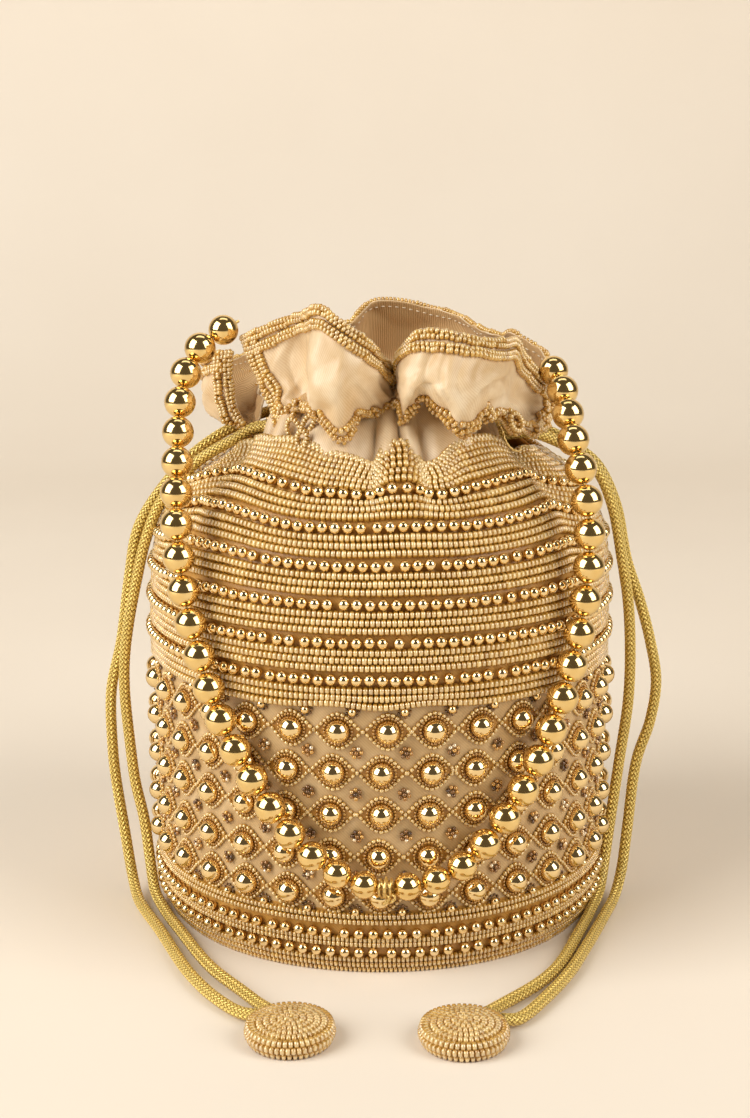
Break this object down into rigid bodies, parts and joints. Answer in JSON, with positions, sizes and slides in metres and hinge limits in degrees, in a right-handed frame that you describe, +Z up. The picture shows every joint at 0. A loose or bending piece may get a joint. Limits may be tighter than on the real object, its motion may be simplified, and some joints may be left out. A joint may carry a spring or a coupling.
{
  "type": "potli bag",
  "caption": "Round beaded drawstring pouch with a flat base, a gathered satin frill, two drawstrings ending in beaded discs, and a bead-strand handle.",
  "frame": {"origin": "centre of the base, on the surface that the bag stands on", "axes": "+Z up, -Y towards the front, where the handle is draped and the drawstring discs lie; +X to the viewer's right"},
  "size_m": [0.2041, 0.2221, 0.2172],
  "materials": {
    "gold_seed_beads": "rows of gold-lined glass seed beads sewn on champagne cloth",
    "champagne_satin": "soft satin weave with a gentle sheen",
    "lining_cloth": "fine ribbed lining cloth",
    "grey_board": "plain stiff board, hidden in the base",
    "gold_braid": "braided metallic yellow-gold cord",
    "polished_gold": "polished gold plating on a light moulded ball"
  },
  "bodies": {
    "bag": {"beaded_body": "gold_seed_beads", "base_panel": "gold_seed_beads", "base_board": "grey_board", "lining": "lining_cloth", "drawstring_channel": "champagne_satin", "front_frill": "champagne_satin", "back_frill": "champagne_satin", "left_end_disc": "gold_seed_beads", "right_end_disc": "gold_seed_beads", "left_drawstring_run": "gold_braid", "left_front_cord": "gold_braid", "left_back_cord": "gold_braid", "right_drawstring_run": "gold_braid", "right_front_cord": "gold_braid", "right_back_cord": "gold_braid"},
    "handle": {"handle_thread": "gold_braid", "handle_knot": "gold_braid", "handle_ball_01": "polished_gold", "handle_ball_02": "polished_gold", "handle_ball_03": "polished_gold", "handle_ball_04": "polished_gold", "handle_ball_05": "polished_gold", "handle_ball_06": "polished_gold", "handle_ball_07": "polished_gold", "handle_ball_08": "polished_gold", "handle_ball_09": "polished_gold", "handle_ball_10": "polished_gold", "handle_ball_11": "polished_gold", "handle_ball_12": "polished_gold", "handle_ball_13": "polished_gold", "handle_ball_14": "polished_gold", "handle_ball_15": "polished_gold", "handle_ball_16": "polished_gold", "handle_ball_17": "polished_gold", "handle_ball_18": "polished_gold", "handle_ball_19": "polished_gold", "handle_ball_20": "polished_gold", "handle_ball_21": "polished_gold", "handle_ball_22": "polished_gold", "handle_ball_23": "polished_gold", "handle_ball_24": "polished_gold", "handle_ball_25": "polished_gold", "handle_ball_26": "polished_gold", "handle_ball_27": "polished_gold", "handle_ball_28": "polished_gold", "handle_ball_29": "polished_gold", "handle_ball_30": "polished_gold", "handle_ball_31": "polished_gold", "handle_ball_32": "polished_gold", "handle_ball_33": "polished_gold", "handle_ball_34": "polished_gold", "handle_ball_35": "polished_gold", "handle_ball_36": "polished_gold", "handle_ball_37": "polished_gold", "handle_ball_38": "polished_gold", "handle_ball_39": "polished_gold", "handle_ball_40": "polished_gold", "handle_ball_41": "polished_gold"}
  },
  "joints": [
    {"name": "handle_lift", "type": "hinge", "parent": "bag", "child": "handle", "pos_m": [-0.0537, -0.0179, 0.2079], "axis": [-0.9925, 0.0193, 0.1203], "range_deg": [0, 155]}
  ]
}
